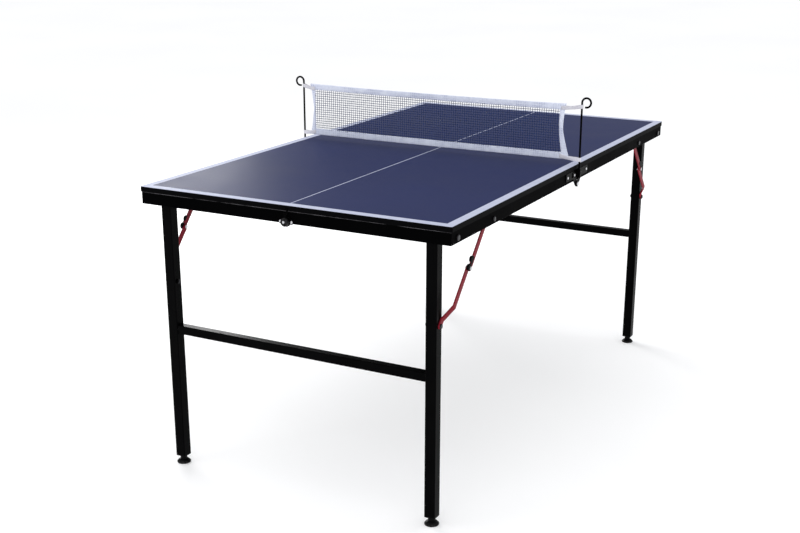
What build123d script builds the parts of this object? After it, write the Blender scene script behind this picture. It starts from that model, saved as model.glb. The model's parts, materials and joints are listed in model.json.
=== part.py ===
from build123d import *
import math
import os

# A half-scale folding table tennis table: two trays hinged at the middle, each with a folding
# leg frame held by two red folding struts, a lift-out net on two wire posts and an end latch.
# Millimetres. X runs along the table, Y across it, +Z up. The origin is on the floor under the
# middle. Half "a" is at -X, half "b" at +X; "left" is +Y and "right" is -Y.

# Overall sizes
TABLE_LENGTH = 1370.0
TABLE_WIDTH = 762.0
TABLE_HEIGHT = 665.0

# Table top
PANEL_THICKNESS = 12.0
PANEL_CORNER_RADIUS = 4.0
PANEL_EDGE_RADIUS = 0.8
SEAM_GAP = 0.6

# Apron under the top
APRON_DEPTH = 27.5
APRON_SETBACK = 2.0
RAIL_THICKNESS = 12.0
MID_RAIL_THICKNESS = 8.0
RAIL_EDGE_RADIUS = 1.0

# Corner brackets inside the apron
BRACKET_THICKNESS = 1.5
BRACKET_HEIGHT = 16.0
BRACKET_REACH = 24.0

# Leg frames
LEG_END_GAP = 4.5
LEG_SIDE_INSET = 53.0
LEG_TUBE = 25.0
LEG_TUBE_CORNER = 2.0
LEG_WALL = 1.5
LEG_TUBE_END = 21.0
TUBE_INNER_CORNER = 0.4
CROSSBAR_HEIGHT = 335.0
CROSSBAR_TUBE = 20.0
CROSSBAR_WALL = 1.2
SLEEVE_RADIUS = 7.0
SLEEVE_BRACKET_GAP = 1.5

# Bolts, screws and pins
PIVOT_BOLT_RADIUS = 4.0
PIVOT_HEAD_RADIUS = 6.5
STRUT_BOLT_RADIUS = 3.0
STRUT_HEAD_RADIUS = 5.5
BOLT_HEAD_HEIGHT = 3.0
BOLT_END = 1.0
HEAD_ROUNDING = 0.7
NUT_HEIGHT = 5.0
THIN_NUT_HEIGHT = 3.5
SCREW_RADIUS = 1.5
SCREW_HEAD_RADIUS = 3.2
SCREW_HEAD_HEIGHT = 1.6
SCREW_GRIP = 9.0

# Folding struts
STRUT_RUN = 172.5
STRUT_FOOT_DROP = 189.0
LINK_WIDTH = 12.0
LINK_THICKNESS = 3.0
LINK_JOG_START = 46.0
LINK_JOG_END = 14.0
STRUT_INNER_HEAD = 1.3
RIVET_HEAD = 1.0
RIVET_RADIUS = 2.5
RIVET_HEAD_RADIUS = 4.2
LOCK_COVER = 0.9
LOCK_LOBE_RADIUS = 7.5
LOCK_LOBE_OFFSET = 3.5
LOCK_LOBE_PITCH = 19.0
LOCK_EDGE = 0.5
LOCK_NECK = 0.8
RIVET_INNER_HEAD = 1.5
RIVET_CLEARANCE = 0.5
EYE_GAP = 0.4
LINK_BEND = 1.2

# Levelling feet
FOOT_RADIUS = 16.0
FOOT_BEVEL = 1.0
FOOT_EDGE = 3.0
FOOT_DOME = 10.0
FOOT_SHOULDER_IN = 3.0
FOOT_SHOULDER_DROP = 3.6
FOOT_NECK_RADIUS = 8.0
FOOT_STUD_RADIUS = 4.0
FOOT_STUD_LENGTH = 30.0
INSERT_FLANGE = 2.0
INSERT_DEPTH = 18.0
PLUG_CORNER = 0.6
FOLDED_FOOT_GAP = 0.5

# Middle hinge
HINGE_DROP = 8.0
HINGE_EAR_RADIUS = 7.5
HINGE_PIN_RADIUS = 3.0
HINGE_PIN_HEAD_RADIUS = 5.2
HINGE_PIN_HEAD = 2.4
HINGE_PLATE_THICKNESS = 2.0
HINGE_PLATE_LENGTH = 71.0
HINGE_PLATE_HEIGHT = 19.0
HINGE_PLATE_CORNER = 4.0
HINGE_PLATE_SETBACK = 0.7
HINGE_LOBE_REACH = 26.0
HINGE_LOBE_LIP = 2.0
HINGE_JOGGLE_START = 9.0
HINGE_JOGGLE_END = 21.0
HINGE_JOGGLE_FLAT = 4.0
HINGE_NECK_DROP = 7.0
HINGE_SCREW_NEAR = 22.0
HINGE_SCREW_FAR = 62.0
SCREW_ROW_DROP = 11.0

# Net posts, their sockets and the net
POST_RADIUS = 2.4
POST_LOOP_RADIUS = 11.0
POST_LOOP_SWEEP = 286.0
POST_LOOP_HEIGHT = 146.0
SOCKET_GAP = 0.4
SOCKET_INNER_WALL = 1.45
SOCKET_OUTER_WALL = 1.85
SOCKET_SIDE_WALL = 2.35
SOCKET_CORNER = 2.0
SOCKET_HEIGHT = 18.0
SOCKET_FLOOR = 3.0
SOCKET_TOP_DROP = 2.0
SOCKET_TAB_START = 1.0
SOCKET_TAB_LENGTH = 30.0
SOCKET_TAB_THICKNESS = 1.6
SOCKET_TAB_HEIGHT = 12.0
NET_POST_GAP = 30.5
NET_TOP = 141.0
NET_BOTTOM = 8.5
NET_THICKNESS = 1.2
TAPE_TOP_WIDTH = 15.0
TAPE_BOTTOM_WIDTH = 16.0
TAPE_SIDE_WIDTH = 14.0
TAPE_THICKNESS = 2.4
STRAP_HEIGHT = 10.0
STRAP_THICKNESS = 1.2
STRAP_TOP_DROP = 4.0
STRAP_BOTTOM_RISE = 2.5
STRAP_OVERLAP = 6.0

# End latch
LATCH_DROP = 23.0
LATCH_PLATE_WIDTH = 36.0
LATCH_PLATE_HEIGHT = 11.0
LATCH_PLATE_THICKNESS = 2.0
LATCH_PLATE_RADIUS = 11.0
LATCH_SCREW_SPACING = 27.0
LATCH_BOSS_RADIUS = 4.5
LATCH_BOSS_HEIGHT = 1.7
LATCH_SHAFT_RADIUS = 2.5
LATCH_SHAFT_DEPTH = 7.0
LATCH_EAR_ROUNDING = 5.0
LATCH_TONGUE_WIDTH = 8.0
LATCH_TONGUE_THICKNESS = 2.0
LATCH_REACH = 22.0
LATCH_HOOK_WALL = 3.4
LATCH_ROUND_END = 5.6
LATCH_KNOB_RADIUS = 9.5
LATCH_KNOB_HEIGHT = 7.0
LATCH_KNOB_ROUNDING = 2.0
LATCH_RIDGE_HEIGHT = 2.5
LATCH_RIDGE_WIDTH = 4.4
LATCH_RIDGE_INSET = 2.0
LATCH_RIDGE_ROUNDING = 1.0
KEEPER_STUD_RADIUS = 3.6
KEEPER_HEAD_RADIUS = 5.6
KEEPER_HEAD_HEIGHT = 2.0
KEEPER_PLATE_RISE = 3.0
KEEPER_STUD_SEAT = 0.6

# Clearances
BODY_GAP = 0.3
RUNNING_FIT = 0.08
SEATED_FIT = 0.05
PLUG_FIT = 0.1
SLIDE_FIT = 0.25
CUT_OVERRUN = 1.0

# Places worked out from the sizes above
PANEL_UNDERSIDE = TABLE_HEIGHT - PANEL_THICKNESS
APRON_BOTTOM = PANEL_UNDERSIDE - APRON_DEPTH
RAIL_MIDDLE_Z = PANEL_UNDERSIDE - APRON_DEPTH / 2
END_FACE = TABLE_LENGTH / 2 - APRON_SETBACK
SIDE_FACE = TABLE_WIDTH / 2 - APRON_SETBACK
END_INNER = END_FACE - RAIL_THICKNESS
SIDE_INNER = SIDE_FACE - RAIL_THICKNESS
SEAM = SEAM_GAP / 2
HINGE_Z = APRON_BOTTOM - HINGE_DROP

# A folded leg's foot lies just under the panel, so the foot's radius sets the pivot's height.
LEG_X = END_INNER - LEG_TUBE / 2 - LEG_END_GAP
LEG_Y = TABLE_WIDTH / 2 - LEG_SIDE_INSET
PIVOT_Z = PANEL_UNDERSIDE - FOOT_RADIUS - FOLDED_FOOT_GAP
LEG_OUTER = LEG_Y + LEG_TUBE / 2
LEG_INNER = LEG_Y - LEG_TUBE / 2

# Each strut is straight when the leg is down and doubled back on itself when the leg is folded,
# so its two links are half the difference and half the sum of the two pivot distances.
STRUT_PIVOT_X = LEG_X - STRUT_RUN
STRUT_FOOT_Z = PIVOT_Z - STRUT_FOOT_DROP
SPAN_OPEN = math.hypot(STRUT_RUN, STRUT_FOOT_DROP)
SPAN_FOLDED = STRUT_FOOT_DROP - STRUT_RUN
UPPER_LENGTH = (SPAN_OPEN - SPAN_FOLDED) / 2
LOWER_LENGTH = (SPAN_OPEN + SPAN_FOLDED) / 2
STRUT_ANGLE = math.degrees(math.atan2(STRUT_FOOT_DROP, STRUT_RUN))

# Layers of a strut, from the rail inwards
RIVET_TOP_Y = SIDE_INNER - RIVET_CLEARANCE
COVER_TOP_Y = RIVET_TOP_Y - RIVET_HEAD
UPPER_OUTER_Y = COVER_TOP_Y - LOCK_COVER
UPPER_INNER_Y = UPPER_OUTER_Y - LINK_THICKNESS
STRUT_HEAD_Y = UPPER_INNER_Y - BODY_GAP
LOWER_OUTER_Y = STRUT_HEAD_Y - STRUT_INNER_HEAD - BODY_GAP
LOWER_INNER_Y = LOWER_OUTER_Y - LINK_THICKNESS
EYE_INNER_Y = LEG_OUTER + EYE_GAP
EYE_OUTER_Y = EYE_INNER_Y + LINK_THICKNESS

# The wire posts stand just outside the top, at the seam, and the net is as long as they allow.
SOCKET_BORE = POST_RADIUS + SLIDE_FIT
SOCKET_INNER_Y = TABLE_WIDTH / 2 + SOCKET_GAP
POST_Y = SOCKET_INNER_Y + SOCKET_INNER_WALL + SOCKET_BORE
SOCKET_OUTER_Y = POST_Y + SOCKET_BORE + SOCKET_OUTER_WALL
SOCKET_TOP = PANEL_UNDERSIDE - SOCKET_TOP_DROP
SOCKET_BOTTOM = SOCKET_TOP - SOCKET_HEIGHT
NET_HALF = POST_Y - NET_POST_GAP
NET_LOW_Z = TABLE_HEIGHT + NET_BOTTOM
NET_HIGH_Z = TABLE_HEIGHT + NET_TOP

# Hinge plates and the end latch
SCREW_ROW_Z = PANEL_UNDERSIDE - SCREW_ROW_DROP
PLATE_LOW_Z = SCREW_ROW_Z - HINGE_PLATE_HEIGHT / 2
PLATE_HIGH_Z = SCREW_ROW_Z + HINGE_PLATE_HEIGHT / 2
PLATE_OUTER_Y = SIDE_FACE + HINGE_PLATE_THICKNESS
LATCH_Z = PANEL_UNDERSIDE - LATCH_DROP
KEEPER_Z = 2 * HINGE_Z - (LATCH_Z - LATCH_REACH)
KEEPER_PLATE_Z = KEEPER_Z + KEEPER_PLATE_RISE
LATCH_PLATE_FACE = END_FACE + LATCH_PLATE_THICKNESS
TONGUE_BACK = LATCH_PLATE_FACE + LATCH_BOSS_HEIGHT + BODY_GAP
KNOB_BACK = TONGUE_BACK + LATCH_TONGUE_THICKNESS
KNOB_FRONT = KNOB_BACK + LATCH_KNOB_HEIGHT

ENDS = {"a": -1, "b": 1}
SIDES = {"left": 1, "right": -1}


def span_box(x, y, z):
    """A box from pairs of limits along X, Y and Z."""
    limits = [sorted(pair) for pair in (x, y, z)]
    sizes = [high - low for low, high in limits]
    middles = [(high + low) / 2 for low, high in limits]
    return Pos(*middles) * Box(*sizes)


def rod_y(x, z, radius, y_from, y_to):
    """A round rod along Y."""
    middle = (y_from + y_to) / 2
    return Pos(x, middle, z) * Rot(90, 0, 0) * Cylinder(radius, abs(y_to - y_from))


def rod_x(y, z, radius, x_from, x_to):
    """A round rod along X."""
    middle = (x_from + x_to) / 2
    return Pos(middle, y, z) * Rot(0, 90, 0) * Cylinder(radius, abs(x_to - x_from))


def rod_z(x, y, radius, z_from, z_to):
    """A round rod along Z."""
    return Pos(x, y, (z_from + z_to) / 2) * Cylinder(radius, abs(z_to - z_from))


def domed_head(point, direction, radius, height):
    """A button head that stands on a point and faces a direction."""
    head = Pos(0, 0, height / 2) * Cylinder(radius, height)
    head = fillet(head.edges().sort_by(Axis.Z)[-1], height * HEAD_ROUNDING)
    return Plane(origin=point, z_dir=direction) * head


def placed(piece, end=1, side=1):
    """Mirror a piece modelled at the +X end and the +Y side into its own place."""
    if end < 0:
        piece = mirror(piece, about=Plane.YZ)
    if side < 0:
        piece = mirror(piece, about=Plane.XZ)
    return piece


def both_sides(piece, end=1):
    """The left and the right copy of a piece, as separate solids."""
    return [placed(piece, end, side) for side in SIDES.values()]


# ---- Trays ----

def top_panel():
    """One half of the playing surface, with rounded outer corners and a softened rim."""
    half = TABLE_WIDTH / 2
    panel = span_box((SEAM, TABLE_LENGTH / 2), (-half, half), (PANEL_UNDERSIDE, TABLE_HEIGHT))
    panel = fillet(panel.edges().filter_by(Axis.Z).group_by(Axis.X)[-1], PANEL_CORNER_RADIUS)
    rim = panel.faces().sort_by(Axis.Z)[-1].edges().filter_by(lambda edge: edge.center().X > 1.0)
    return fillet(rim, PANEL_EDGE_RADIUS)


def end_rail(has_latch_hole):
    """The apron rail across the outer end."""
    rail = span_box((END_INNER, END_FACE), (-SIDE_FACE, SIDE_FACE), (APRON_BOTTOM, PANEL_UNDERSIDE))
    outside = rail.edges().filter_by(Axis.Z).group_by(Axis.X)[-1]
    rail = fillet(outside, RAIL_EDGE_RADIUS)
    lower_front = rail.edges().filter_by(Axis.Y).group_by(Axis.X)[-1]
    rail = fillet(lower_front, RAIL_EDGE_RADIUS * 0.8)
    centre_z = LATCH_Z if has_latch_hole else KEEPER_PLATE_Z
    for y in (-LATCH_SCREW_SPACING / 2, LATCH_SCREW_SPACING / 2):
        rail -= rod_x(y, centre_z, SCREW_RADIUS + SEATED_FIT, END_FACE - SCREW_GRIP - BODY_GAP, END_FACE)
    if has_latch_hole:
        bottom = LATCH_PLATE_FACE - LATCH_SHAFT_DEPTH - BOLT_END
        rail -= rod_x(0, LATCH_Z, LATCH_SHAFT_RADIUS + RUNNING_FIT, bottom, END_FACE)
    return rail


def side_rail():
    """The long apron rail at the left of half b, bored for its bolts and hinge screws."""
    rail = span_box((SEAM, END_INNER), (SIDE_INNER, SIDE_FACE), (APRON_BOTTOM, PANEL_UNDERSIDE))
    rail = fillet(rail.edges().filter_by(Axis.X).group_by(Axis.Y)[-1], RAIL_EDGE_RADIUS * 0.8)
    rail -= rod_y(LEG_X, PIVOT_Z, PIVOT_BOLT_RADIUS + SEATED_FIT, SIDE_INNER, SIDE_FACE)
    rail -= rod_y(STRUT_PIVOT_X, PIVOT_Z, STRUT_BOLT_RADIUS + SEATED_FIT, SIDE_INNER, SIDE_FACE)
    for x in (HINGE_SCREW_NEAR, HINGE_SCREW_FAR):
        depth = SIDE_FACE - SCREW_GRIP - BODY_GAP
        rail -= rod_y(x, SCREW_ROW_Z, SCREW_RADIUS + SEATED_FIT, depth, SIDE_FACE)
    return rail


def mid_rail():
    """The thin apron rail across the tray at the seam."""
    return span_box((SEAM, SEAM + MID_RAIL_THICKNESS), (-SIDE_INNER, SIDE_INNER),
                    (APRON_BOTTOM, PANEL_UNDERSIDE))


def angle_bracket(corner_x, towards_x, side_reach):
    """An angle plate in a left-hand corner of the tray."""
    z_limits = (RAIL_MIDDLE_Z - BRACKET_HEIGHT / 2, RAIL_MIDDLE_Z + BRACKET_HEIGHT / 2)
    across = span_box((corner_x, corner_x + towards_x * BRACKET_THICKNESS),
                      (SIDE_INNER - BRACKET_REACH, SIDE_INNER), z_limits)
    along = span_box((corner_x, corner_x + towards_x * side_reach),
                     (SIDE_INNER - BRACKET_THICKNESS, SIDE_INNER), z_limits)
    return across + along


def corner_brackets(end):
    """The four angle plates of one tray; those at the leg pivots are short along the side."""
    middle = angle_bracket(SEAM + MID_RAIL_THICKNESS, 1, BRACKET_REACH)
    short_reach = END_INNER - LEG_X - SLEEVE_RADIUS - SLEEVE_BRACKET_GAP
    outer = angle_bracket(END_INNER, -1, short_reach)
    return both_sides(middle, end) + both_sides(outer, end)


# ---- Middle hinge and net sockets ----

def hinge_strip(x_from):
    """The straight part of a hinge plate, flat on the side rail."""
    strip = span_box((x_from, HINGE_PLATE_LENGTH), (SIDE_FACE, PLATE_OUTER_Y),
                     (PLATE_LOW_Z, PLATE_HIGH_Z))
    strip = fillet(strip.edges().filter_by(Axis.Y).group_by(Axis.X)[-1], HINGE_PLATE_CORNER)
    for x in (HINGE_SCREW_NEAR, HINGE_SCREW_FAR):
        strip -= rod_y(x, SCREW_ROW_Z, SCREW_RADIUS + SEATED_FIT, SIDE_FACE, PLATE_OUTER_Y)
    return strip


def hinge_lobe(corner_points, y_low, hole_radius):
    """The ear of a hinge plate: a tapered lobe down to a round end about the hinge pin."""
    outline = Pos(0, HINGE_Z) * Circle(HINGE_EAR_RADIUS) + Polygon(*corner_points, align=None)
    hull = make_hull(outline.edges())
    y_high = y_low + HINGE_PLATE_THICKNESS
    lobe = Plane.XZ.offset(-y_high) * extrude(hull, HINGE_PLATE_THICKNESS)
    return lobe - rod_y(0, HINGE_Z, hole_radius, y_low - CUT_OVERRUN, y_high + CUT_OVERRUN)


def hinge_plate_inner():
    """Half a's hinge plate: its ear lies in one plane with the plate."""
    x_from = SEAM + HINGE_PLATE_SETBACK
    lip_z = PLATE_LOW_Z + HINGE_LOBE_LIP
    corners = ((x_from, PLATE_LOW_Z), (HINGE_LOBE_REACH, PLATE_LOW_Z),
               (HINGE_LOBE_REACH, lip_z), (x_from, lip_z))
    lobe = hinge_lobe(corners, SIDE_FACE, HINGE_PIN_RADIUS + SEATED_FIT)
    beyond = span_box((-2 * HINGE_EAR_RADIUS, x_from),
                      (SIDE_FACE - CUT_OVERRUN, PLATE_OUTER_Y + CUT_OVERRUN),
                      (HINGE_Z + HINGE_EAR_RADIUS, PANEL_UNDERSIDE))
    return hinge_strip(x_from) + (lobe - beyond)


def hinge_plate_outer():
    """Half b's hinge plate: its ear steps outwards to lie over half a's ear."""
    ear_y = PLATE_OUTER_Y + BODY_GAP
    lip_z = PLATE_LOW_Z + HINGE_LOBE_LIP
    corners = ((HINGE_JOGGLE_START, PLATE_LOW_Z - HINGE_NECK_DROP), (HINGE_JOGGLE_END, PLATE_LOW_Z),
               (HINGE_JOGGLE_END, lip_z), (HINGE_JOGGLE_START, lip_z))
    lobe = hinge_lobe(corners, ear_y, HINGE_PIN_RADIUS + RUNNING_FIT)
    joggle = span_box((HINGE_JOGGLE_START, HINGE_JOGGLE_END - HINGE_JOGGLE_FLAT),
                      (SIDE_FACE, ear_y + HINGE_PLATE_THICKNESS), (PLATE_LOW_Z, PLATE_HIGH_Z))
    return hinge_strip(HINGE_JOGGLE_START) + joggle + lobe


def hinge_pin():
    """The headed pin through both ears of one hinge."""
    ear_outer = PLATE_OUTER_Y + BODY_GAP + HINGE_PLATE_THICKNESS
    head_y = ear_outer + BODY_GAP
    shank = rod_y(0, HINGE_Z, HINGE_PIN_RADIUS, SIDE_FACE, head_y)
    inner_head = rod_y(0, HINGE_Z, HINGE_PIN_HEAD_RADIUS, SIDE_FACE - HINGE_PIN_HEAD, SIDE_FACE)
    outer_head = domed_head((0, head_y, HINGE_Z), (0, 1, 0), HINGE_PIN_HEAD_RADIUS, HINGE_PIN_HEAD)
    return shank + inner_head + outer_head


def net_socket():
    """The block that a wire post drops into, with a tab under half a's inner hinge screw."""
    half_width = SOCKET_BORE + SOCKET_SIDE_WALL
    block = span_box((-half_width, half_width), (SOCKET_INNER_Y, SOCKET_OUTER_Y),
                     (SOCKET_BOTTOM, SOCKET_TOP))
    block = fillet(block.edges().filter_by(Axis.Z).group_by(Axis.Y)[-1], SOCKET_CORNER)
    tab_outer = PLATE_OUTER_Y + SOCKET_TAB_THICKNESS
    tab = span_box((SOCKET_TAB_START, SOCKET_TAB_LENGTH), (PLATE_OUTER_Y, tab_outer),
                   (SCREW_ROW_Z - SOCKET_TAB_HEIGHT / 2, SCREW_ROW_Z + SOCKET_TAB_HEIGHT / 2))
    hole = rod_y(HINGE_SCREW_NEAR, SCREW_ROW_Z, SCREW_RADIUS + SEATED_FIT,
                 PLATE_OUTER_Y - CUT_OVERRUN, tab_outer + CUT_OVERRUN)
    bore = rod_z(0, POST_Y, SOCKET_BORE, SOCKET_BOTTOM + SOCKET_FLOOR, SOCKET_TOP + CUT_OVERRUN)
    return block + tab - hole - bore


# ---- Screws and bolts ----

def screw(point, direction):
    """A button-headed wood screw whose head stands on a point."""
    head = domed_head(point, direction, SCREW_HEAD_RADIUS, SCREW_HEAD_HEIGHT)
    shank = Pos(0, 0, -SCREW_GRIP / 2) * Cylinder(SCREW_RADIUS, SCREW_GRIP)
    return head + Plane(origin=point, z_dir=direction) * shank


def plate_screws(end, latch_z):
    """The hinge plate screws and the end plate screws of one half."""
    lift = SOCKET_TAB_THICKNESS if end < 0 else 0.0
    near = screw((HINGE_SCREW_NEAR, PLATE_OUTER_Y + lift, SCREW_ROW_Z), (0, 1, 0))
    far = screw((HINGE_SCREW_FAR, PLATE_OUTER_Y, SCREW_ROW_Z), (0, 1, 0))
    latch = screw((LATCH_PLATE_FACE, LATCH_SCREW_SPACING / 2, latch_z), (1, 0, 0))
    return both_sides(near, end) + both_sides(far, end) + both_sides(latch, end)


def pivot_bolt():
    """A leg's pivot bolt, with its head on the rail and its nut inside the leg frame."""
    nut_face = LEG_INNER - BODY_GAP
    head = domed_head((LEG_X, SIDE_FACE, PIVOT_Z), (0, 1, 0), PIVOT_HEAD_RADIUS, BOLT_HEAD_HEIGHT)
    shank = rod_y(LEG_X, PIVOT_Z, PIVOT_BOLT_RADIUS, nut_face - NUT_HEIGHT - BOLT_END, SIDE_FACE)
    nut = extrude(RegularPolygon(PIVOT_HEAD_RADIUS, 6), NUT_HEIGHT)
    nut = Plane(origin=(LEG_X, nut_face, PIVOT_Z), z_dir=(0, -1, 0)) * nut
    return head + shank + nut


def strut_bolt():
    """A strut's upper pivot, with a flat inner head that the folded lower link passes over."""
    head = domed_head((STRUT_PIVOT_X, SIDE_FACE, PIVOT_Z), (0, 1, 0),
                      STRUT_HEAD_RADIUS, BOLT_HEAD_HEIGHT)
    shank = rod_y(STRUT_PIVOT_X, PIVOT_Z, STRUT_BOLT_RADIUS, STRUT_HEAD_Y, SIDE_FACE)
    inner = rod_y(STRUT_PIVOT_X, PIVOT_Z, STRUT_HEAD_RADIUS,
                  STRUT_HEAD_Y - STRUT_INNER_HEAD, STRUT_HEAD_Y)
    return head + shank + inner


def rail_bolts(end):
    """The pivot bolts and the strut bolts of one half."""
    return both_sides(pivot_bolt(), end) + both_sides(strut_bolt(), end)


# ---- Leg frames ----

def square_tube(size, wall, corner, length):
    """A square tube that stands on the XY plane."""
    outer = RectangleRounded(size, size, corner)
    inner = RectangleRounded(size - 2 * wall, size - 2 * wall, max(corner - wall, TUBE_INNER_CORNER))
    return extrude(outer - inner, length)


def leg():
    """A leg tube with its top rounded about the pivot."""
    top = PIVOT_Z + LEG_TUBE / 2
    across = (LEG_INNER - CUT_OVERRUN, LEG_OUTER + CUT_OVERRUN)
    tube = square_tube(LEG_TUBE, LEG_WALL, LEG_TUBE_CORNER, top - LEG_TUBE_END)
    keep = span_box((LEG_X - LEG_TUBE, LEG_X + LEG_TUBE), across, (0, PIVOT_Z))
    keep += rod_y(LEG_X, PIVOT_Z, LEG_TUBE / 2, *across)
    tube = (Pos(LEG_X, LEG_Y, LEG_TUBE_END) * tube) & keep
    tube -= rod_y(LEG_X, PIVOT_Z, PIVOT_BOLT_RADIUS + RUNNING_FIT, *across)
    tube -= rod_y(LEG_X, STRUT_FOOT_Z, STRUT_BOLT_RADIUS + SEATED_FIT, *across)
    return tube


def crossbar():
    """The square tube between the two legs of a frame."""
    tube = square_tube(CROSSBAR_TUBE, CROSSBAR_WALL, LEG_TUBE_CORNER, 2 * LEG_INNER)
    return Pos(LEG_X, LEG_INNER, CROSSBAR_HEIGHT) * Rot(90, 0, 0) * tube


def pivot_sleeve():
    """The spacer that keeps a leg away from its rail, leaving room for the strut."""
    sleeve = rod_y(LEG_X, PIVOT_Z, SLEEVE_RADIUS, LEG_OUTER, SIDE_INNER - BODY_GAP)
    bore_radius = PIVOT_BOLT_RADIUS + RUNNING_FIT
    return sleeve - rod_y(LEG_X, PIVOT_Z, bore_radius, LEG_OUTER - CUT_OVERRUN, SIDE_INNER)


def foot_insert():
    """The plastic plug in a leg's lower end that the levelling foot screws into."""
    flange = extrude(RectangleRounded(LEG_TUBE, LEG_TUBE, LEG_TUBE_CORNER), INSERT_FLANGE)
    plug_size = LEG_TUBE - 2 * LEG_WALL - 2 * PLUG_FIT
    plug = extrude(RectangleRounded(plug_size, plug_size, PLUG_CORNER), INSERT_DEPTH)
    insert = Pos(0, 0, LEG_TUBE_END - INSERT_FLANGE) * flange + Pos(0, 0, LEG_TUBE_END) * plug
    insert -= rod_z(0, 0, FOOT_STUD_RADIUS + SLIDE_FIT, 0, LEG_TUBE_END + INSERT_DEPTH + CUT_OVERRUN)
    return Pos(LEG_X, LEG_Y, 0) * insert


def leg_bolt():
    """The leg's share of the strut's lower pivot: shank and nut."""
    shank = rod_y(LEG_X, STRUT_FOOT_Z, STRUT_BOLT_RADIUS, LEG_INNER - NUT_HEIGHT, LEG_OUTER - BODY_GAP)
    nut = extrude(RegularPolygon(STRUT_HEAD_RADIUS, 6), THIN_NUT_HEIGHT)
    return shank + Plane(origin=(LEG_X, LEG_INNER, STRUT_FOOT_Z), z_dir=(0, -1, 0)) * nut


def levelling_foot():
    """A round foot with a domed top, a neck and a stud."""
    neck_top = LEG_TUBE_END - INSERT_FLANGE - BODY_GAP
    stud_top = neck_top + FOOT_STUD_LENGTH
    shoulder = (FOOT_RADIUS - FOOT_SHOULDER_IN, FOOT_DOME - FOOT_SHOULDER_DROP)
    outline = Polyline((0, 0), (FOOT_RADIUS - FOOT_BEVEL, 0), (FOOT_RADIUS, FOOT_BEVEL),
                       (FOOT_RADIUS, FOOT_EDGE))
    outline += ThreePointArc((FOOT_RADIUS, FOOT_EDGE), shoulder, (FOOT_NECK_RADIUS, FOOT_DOME))
    outline += Polyline((FOOT_NECK_RADIUS, FOOT_DOME), (FOOT_NECK_RADIUS, neck_top),
                        (FOOT_STUD_RADIUS, neck_top), (FOOT_STUD_RADIUS, stud_top),
                        (0, stud_top), (0, 0))
    foot = revolve(Plane.XZ * make_face(outline), Axis.Z)
    return Pos(LEG_X, LEG_Y, 0) * foot


# ---- Folding struts ----
# Links are modelled along +X from a pivot at the origin, then turned to the strut's slope.

def strut_place(distance):
    """The place on the open strut at a distance from its upper pivot, with X along the strut."""
    slope = math.radians(STRUT_ANGLE)
    x = STRUT_PIVOT_X + distance * math.cos(slope)
    z = PIVOT_Z - distance * math.sin(slope)
    return Pos(x, 0, z) * Rot(0, STRUT_ANGLE, 0)


def link_outline(length, y_low, y_high):
    """A round-ended bar outline in the plane of the fold, as thick as two Y limits."""
    reach = LINK_WIDTH / 2
    bar = span_box((0, length), (y_low, y_high), (-reach, reach))
    return bar + rod_y(0, 0, reach, y_low, y_high) + rod_y(length, 0, reach, y_low, y_high)


def upper_link():
    """The strut's upper link, from the rail to the elbow."""
    through = (UPPER_INNER_Y - CUT_OVERRUN, UPPER_OUTER_Y + CUT_OVERRUN)
    bar = link_outline(UPPER_LENGTH, UPPER_INNER_Y, UPPER_OUTER_Y)
    bar -= rod_y(0, 0, STRUT_BOLT_RADIUS + RUNNING_FIT, *through)
    bar -= rod_y(UPPER_LENGTH, 0, RIVET_RADIUS + SEATED_FIT, *through)
    return strut_place(0) * bar


def lower_link():
    """The strut's lower link: flat, then stepped inwards to an eye beside the leg."""
    start = LOWER_LENGTH - LINK_JOG_START
    finish = LOWER_LENGTH - LINK_JOG_END
    end = LOWER_LENGTH + LINK_WIDTH
    side_view = Polygon((-LINK_WIDTH, LOWER_INNER_Y), (start - LINK_BEND, LOWER_INNER_Y),
                        (finish - LINK_BEND, EYE_INNER_Y), (end, EYE_INNER_Y), (end, EYE_OUTER_Y),
                        (finish, EYE_OUTER_Y), (start, LOWER_OUTER_Y),
                        (-LINK_WIDTH, LOWER_OUTER_Y), align=None)
    bent = Pos(0, 0, -LINK_WIDTH) * extrude(side_view, 2 * LINK_WIDTH)
    through = (EYE_INNER_Y - CUT_OVERRUN, LOWER_OUTER_Y + CUT_OVERRUN)
    bar = bent & link_outline(LOWER_LENGTH, *through)
    bar -= rod_y(0, 0, RIVET_RADIUS + RUNNING_FIT, *through)
    bar -= rod_y(LOWER_LENGTH, 0, STRUT_BOLT_RADIUS + SEATED_FIT, *through)
    return strut_place(UPPER_LENGTH) * bar


def strut_lock():
    """The two-lobed elbow lock with its rivet, fixed to the upper link."""
    edge = LINK_WIDTH / 2 + SEATED_FIT
    rim_y = LOWER_OUTER_Y + BODY_GAP
    reach = LOCK_LOBE_PITCH + 2 * LOCK_LOBE_RADIUS
    over_bar = span_box((-reach, reach), (rim_y - CUT_OVERRUN, UPPER_OUTER_Y), (-reach, edge))
    half_cover = span_box((-reach, reach), (rim_y - CUT_OVERRUN, COVER_TOP_Y + CUT_OVERRUN),
                          (-reach, -LOCK_EDGE))
    rivet_end = LOWER_INNER_Y - BODY_GAP
    lock = span_box((-LOCK_LOBE_PITCH, 0), (UPPER_OUTER_Y, COVER_TOP_Y), (LOCK_EDGE, edge + LOCK_NECK))
    for x in (0, -LOCK_LOBE_PITCH):
        disc = rod_y(x, LOCK_LOBE_OFFSET, LOCK_LOBE_RADIUS, rim_y, COVER_TOP_Y)
        lock += disc - over_bar - half_cover
    lock += rod_y(0, 0, RIVET_RADIUS, rivet_end, COVER_TOP_Y)
    lock += rod_y(0, 0, RIVET_HEAD_RADIUS, UPPER_OUTER_Y, RIVET_TOP_Y)
    lock += rod_y(0, 0, RIVET_HEAD_RADIUS, rivet_end - RIVET_INNER_HEAD, rivet_end)
    return strut_place(UPPER_LENGTH) * lock


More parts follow.
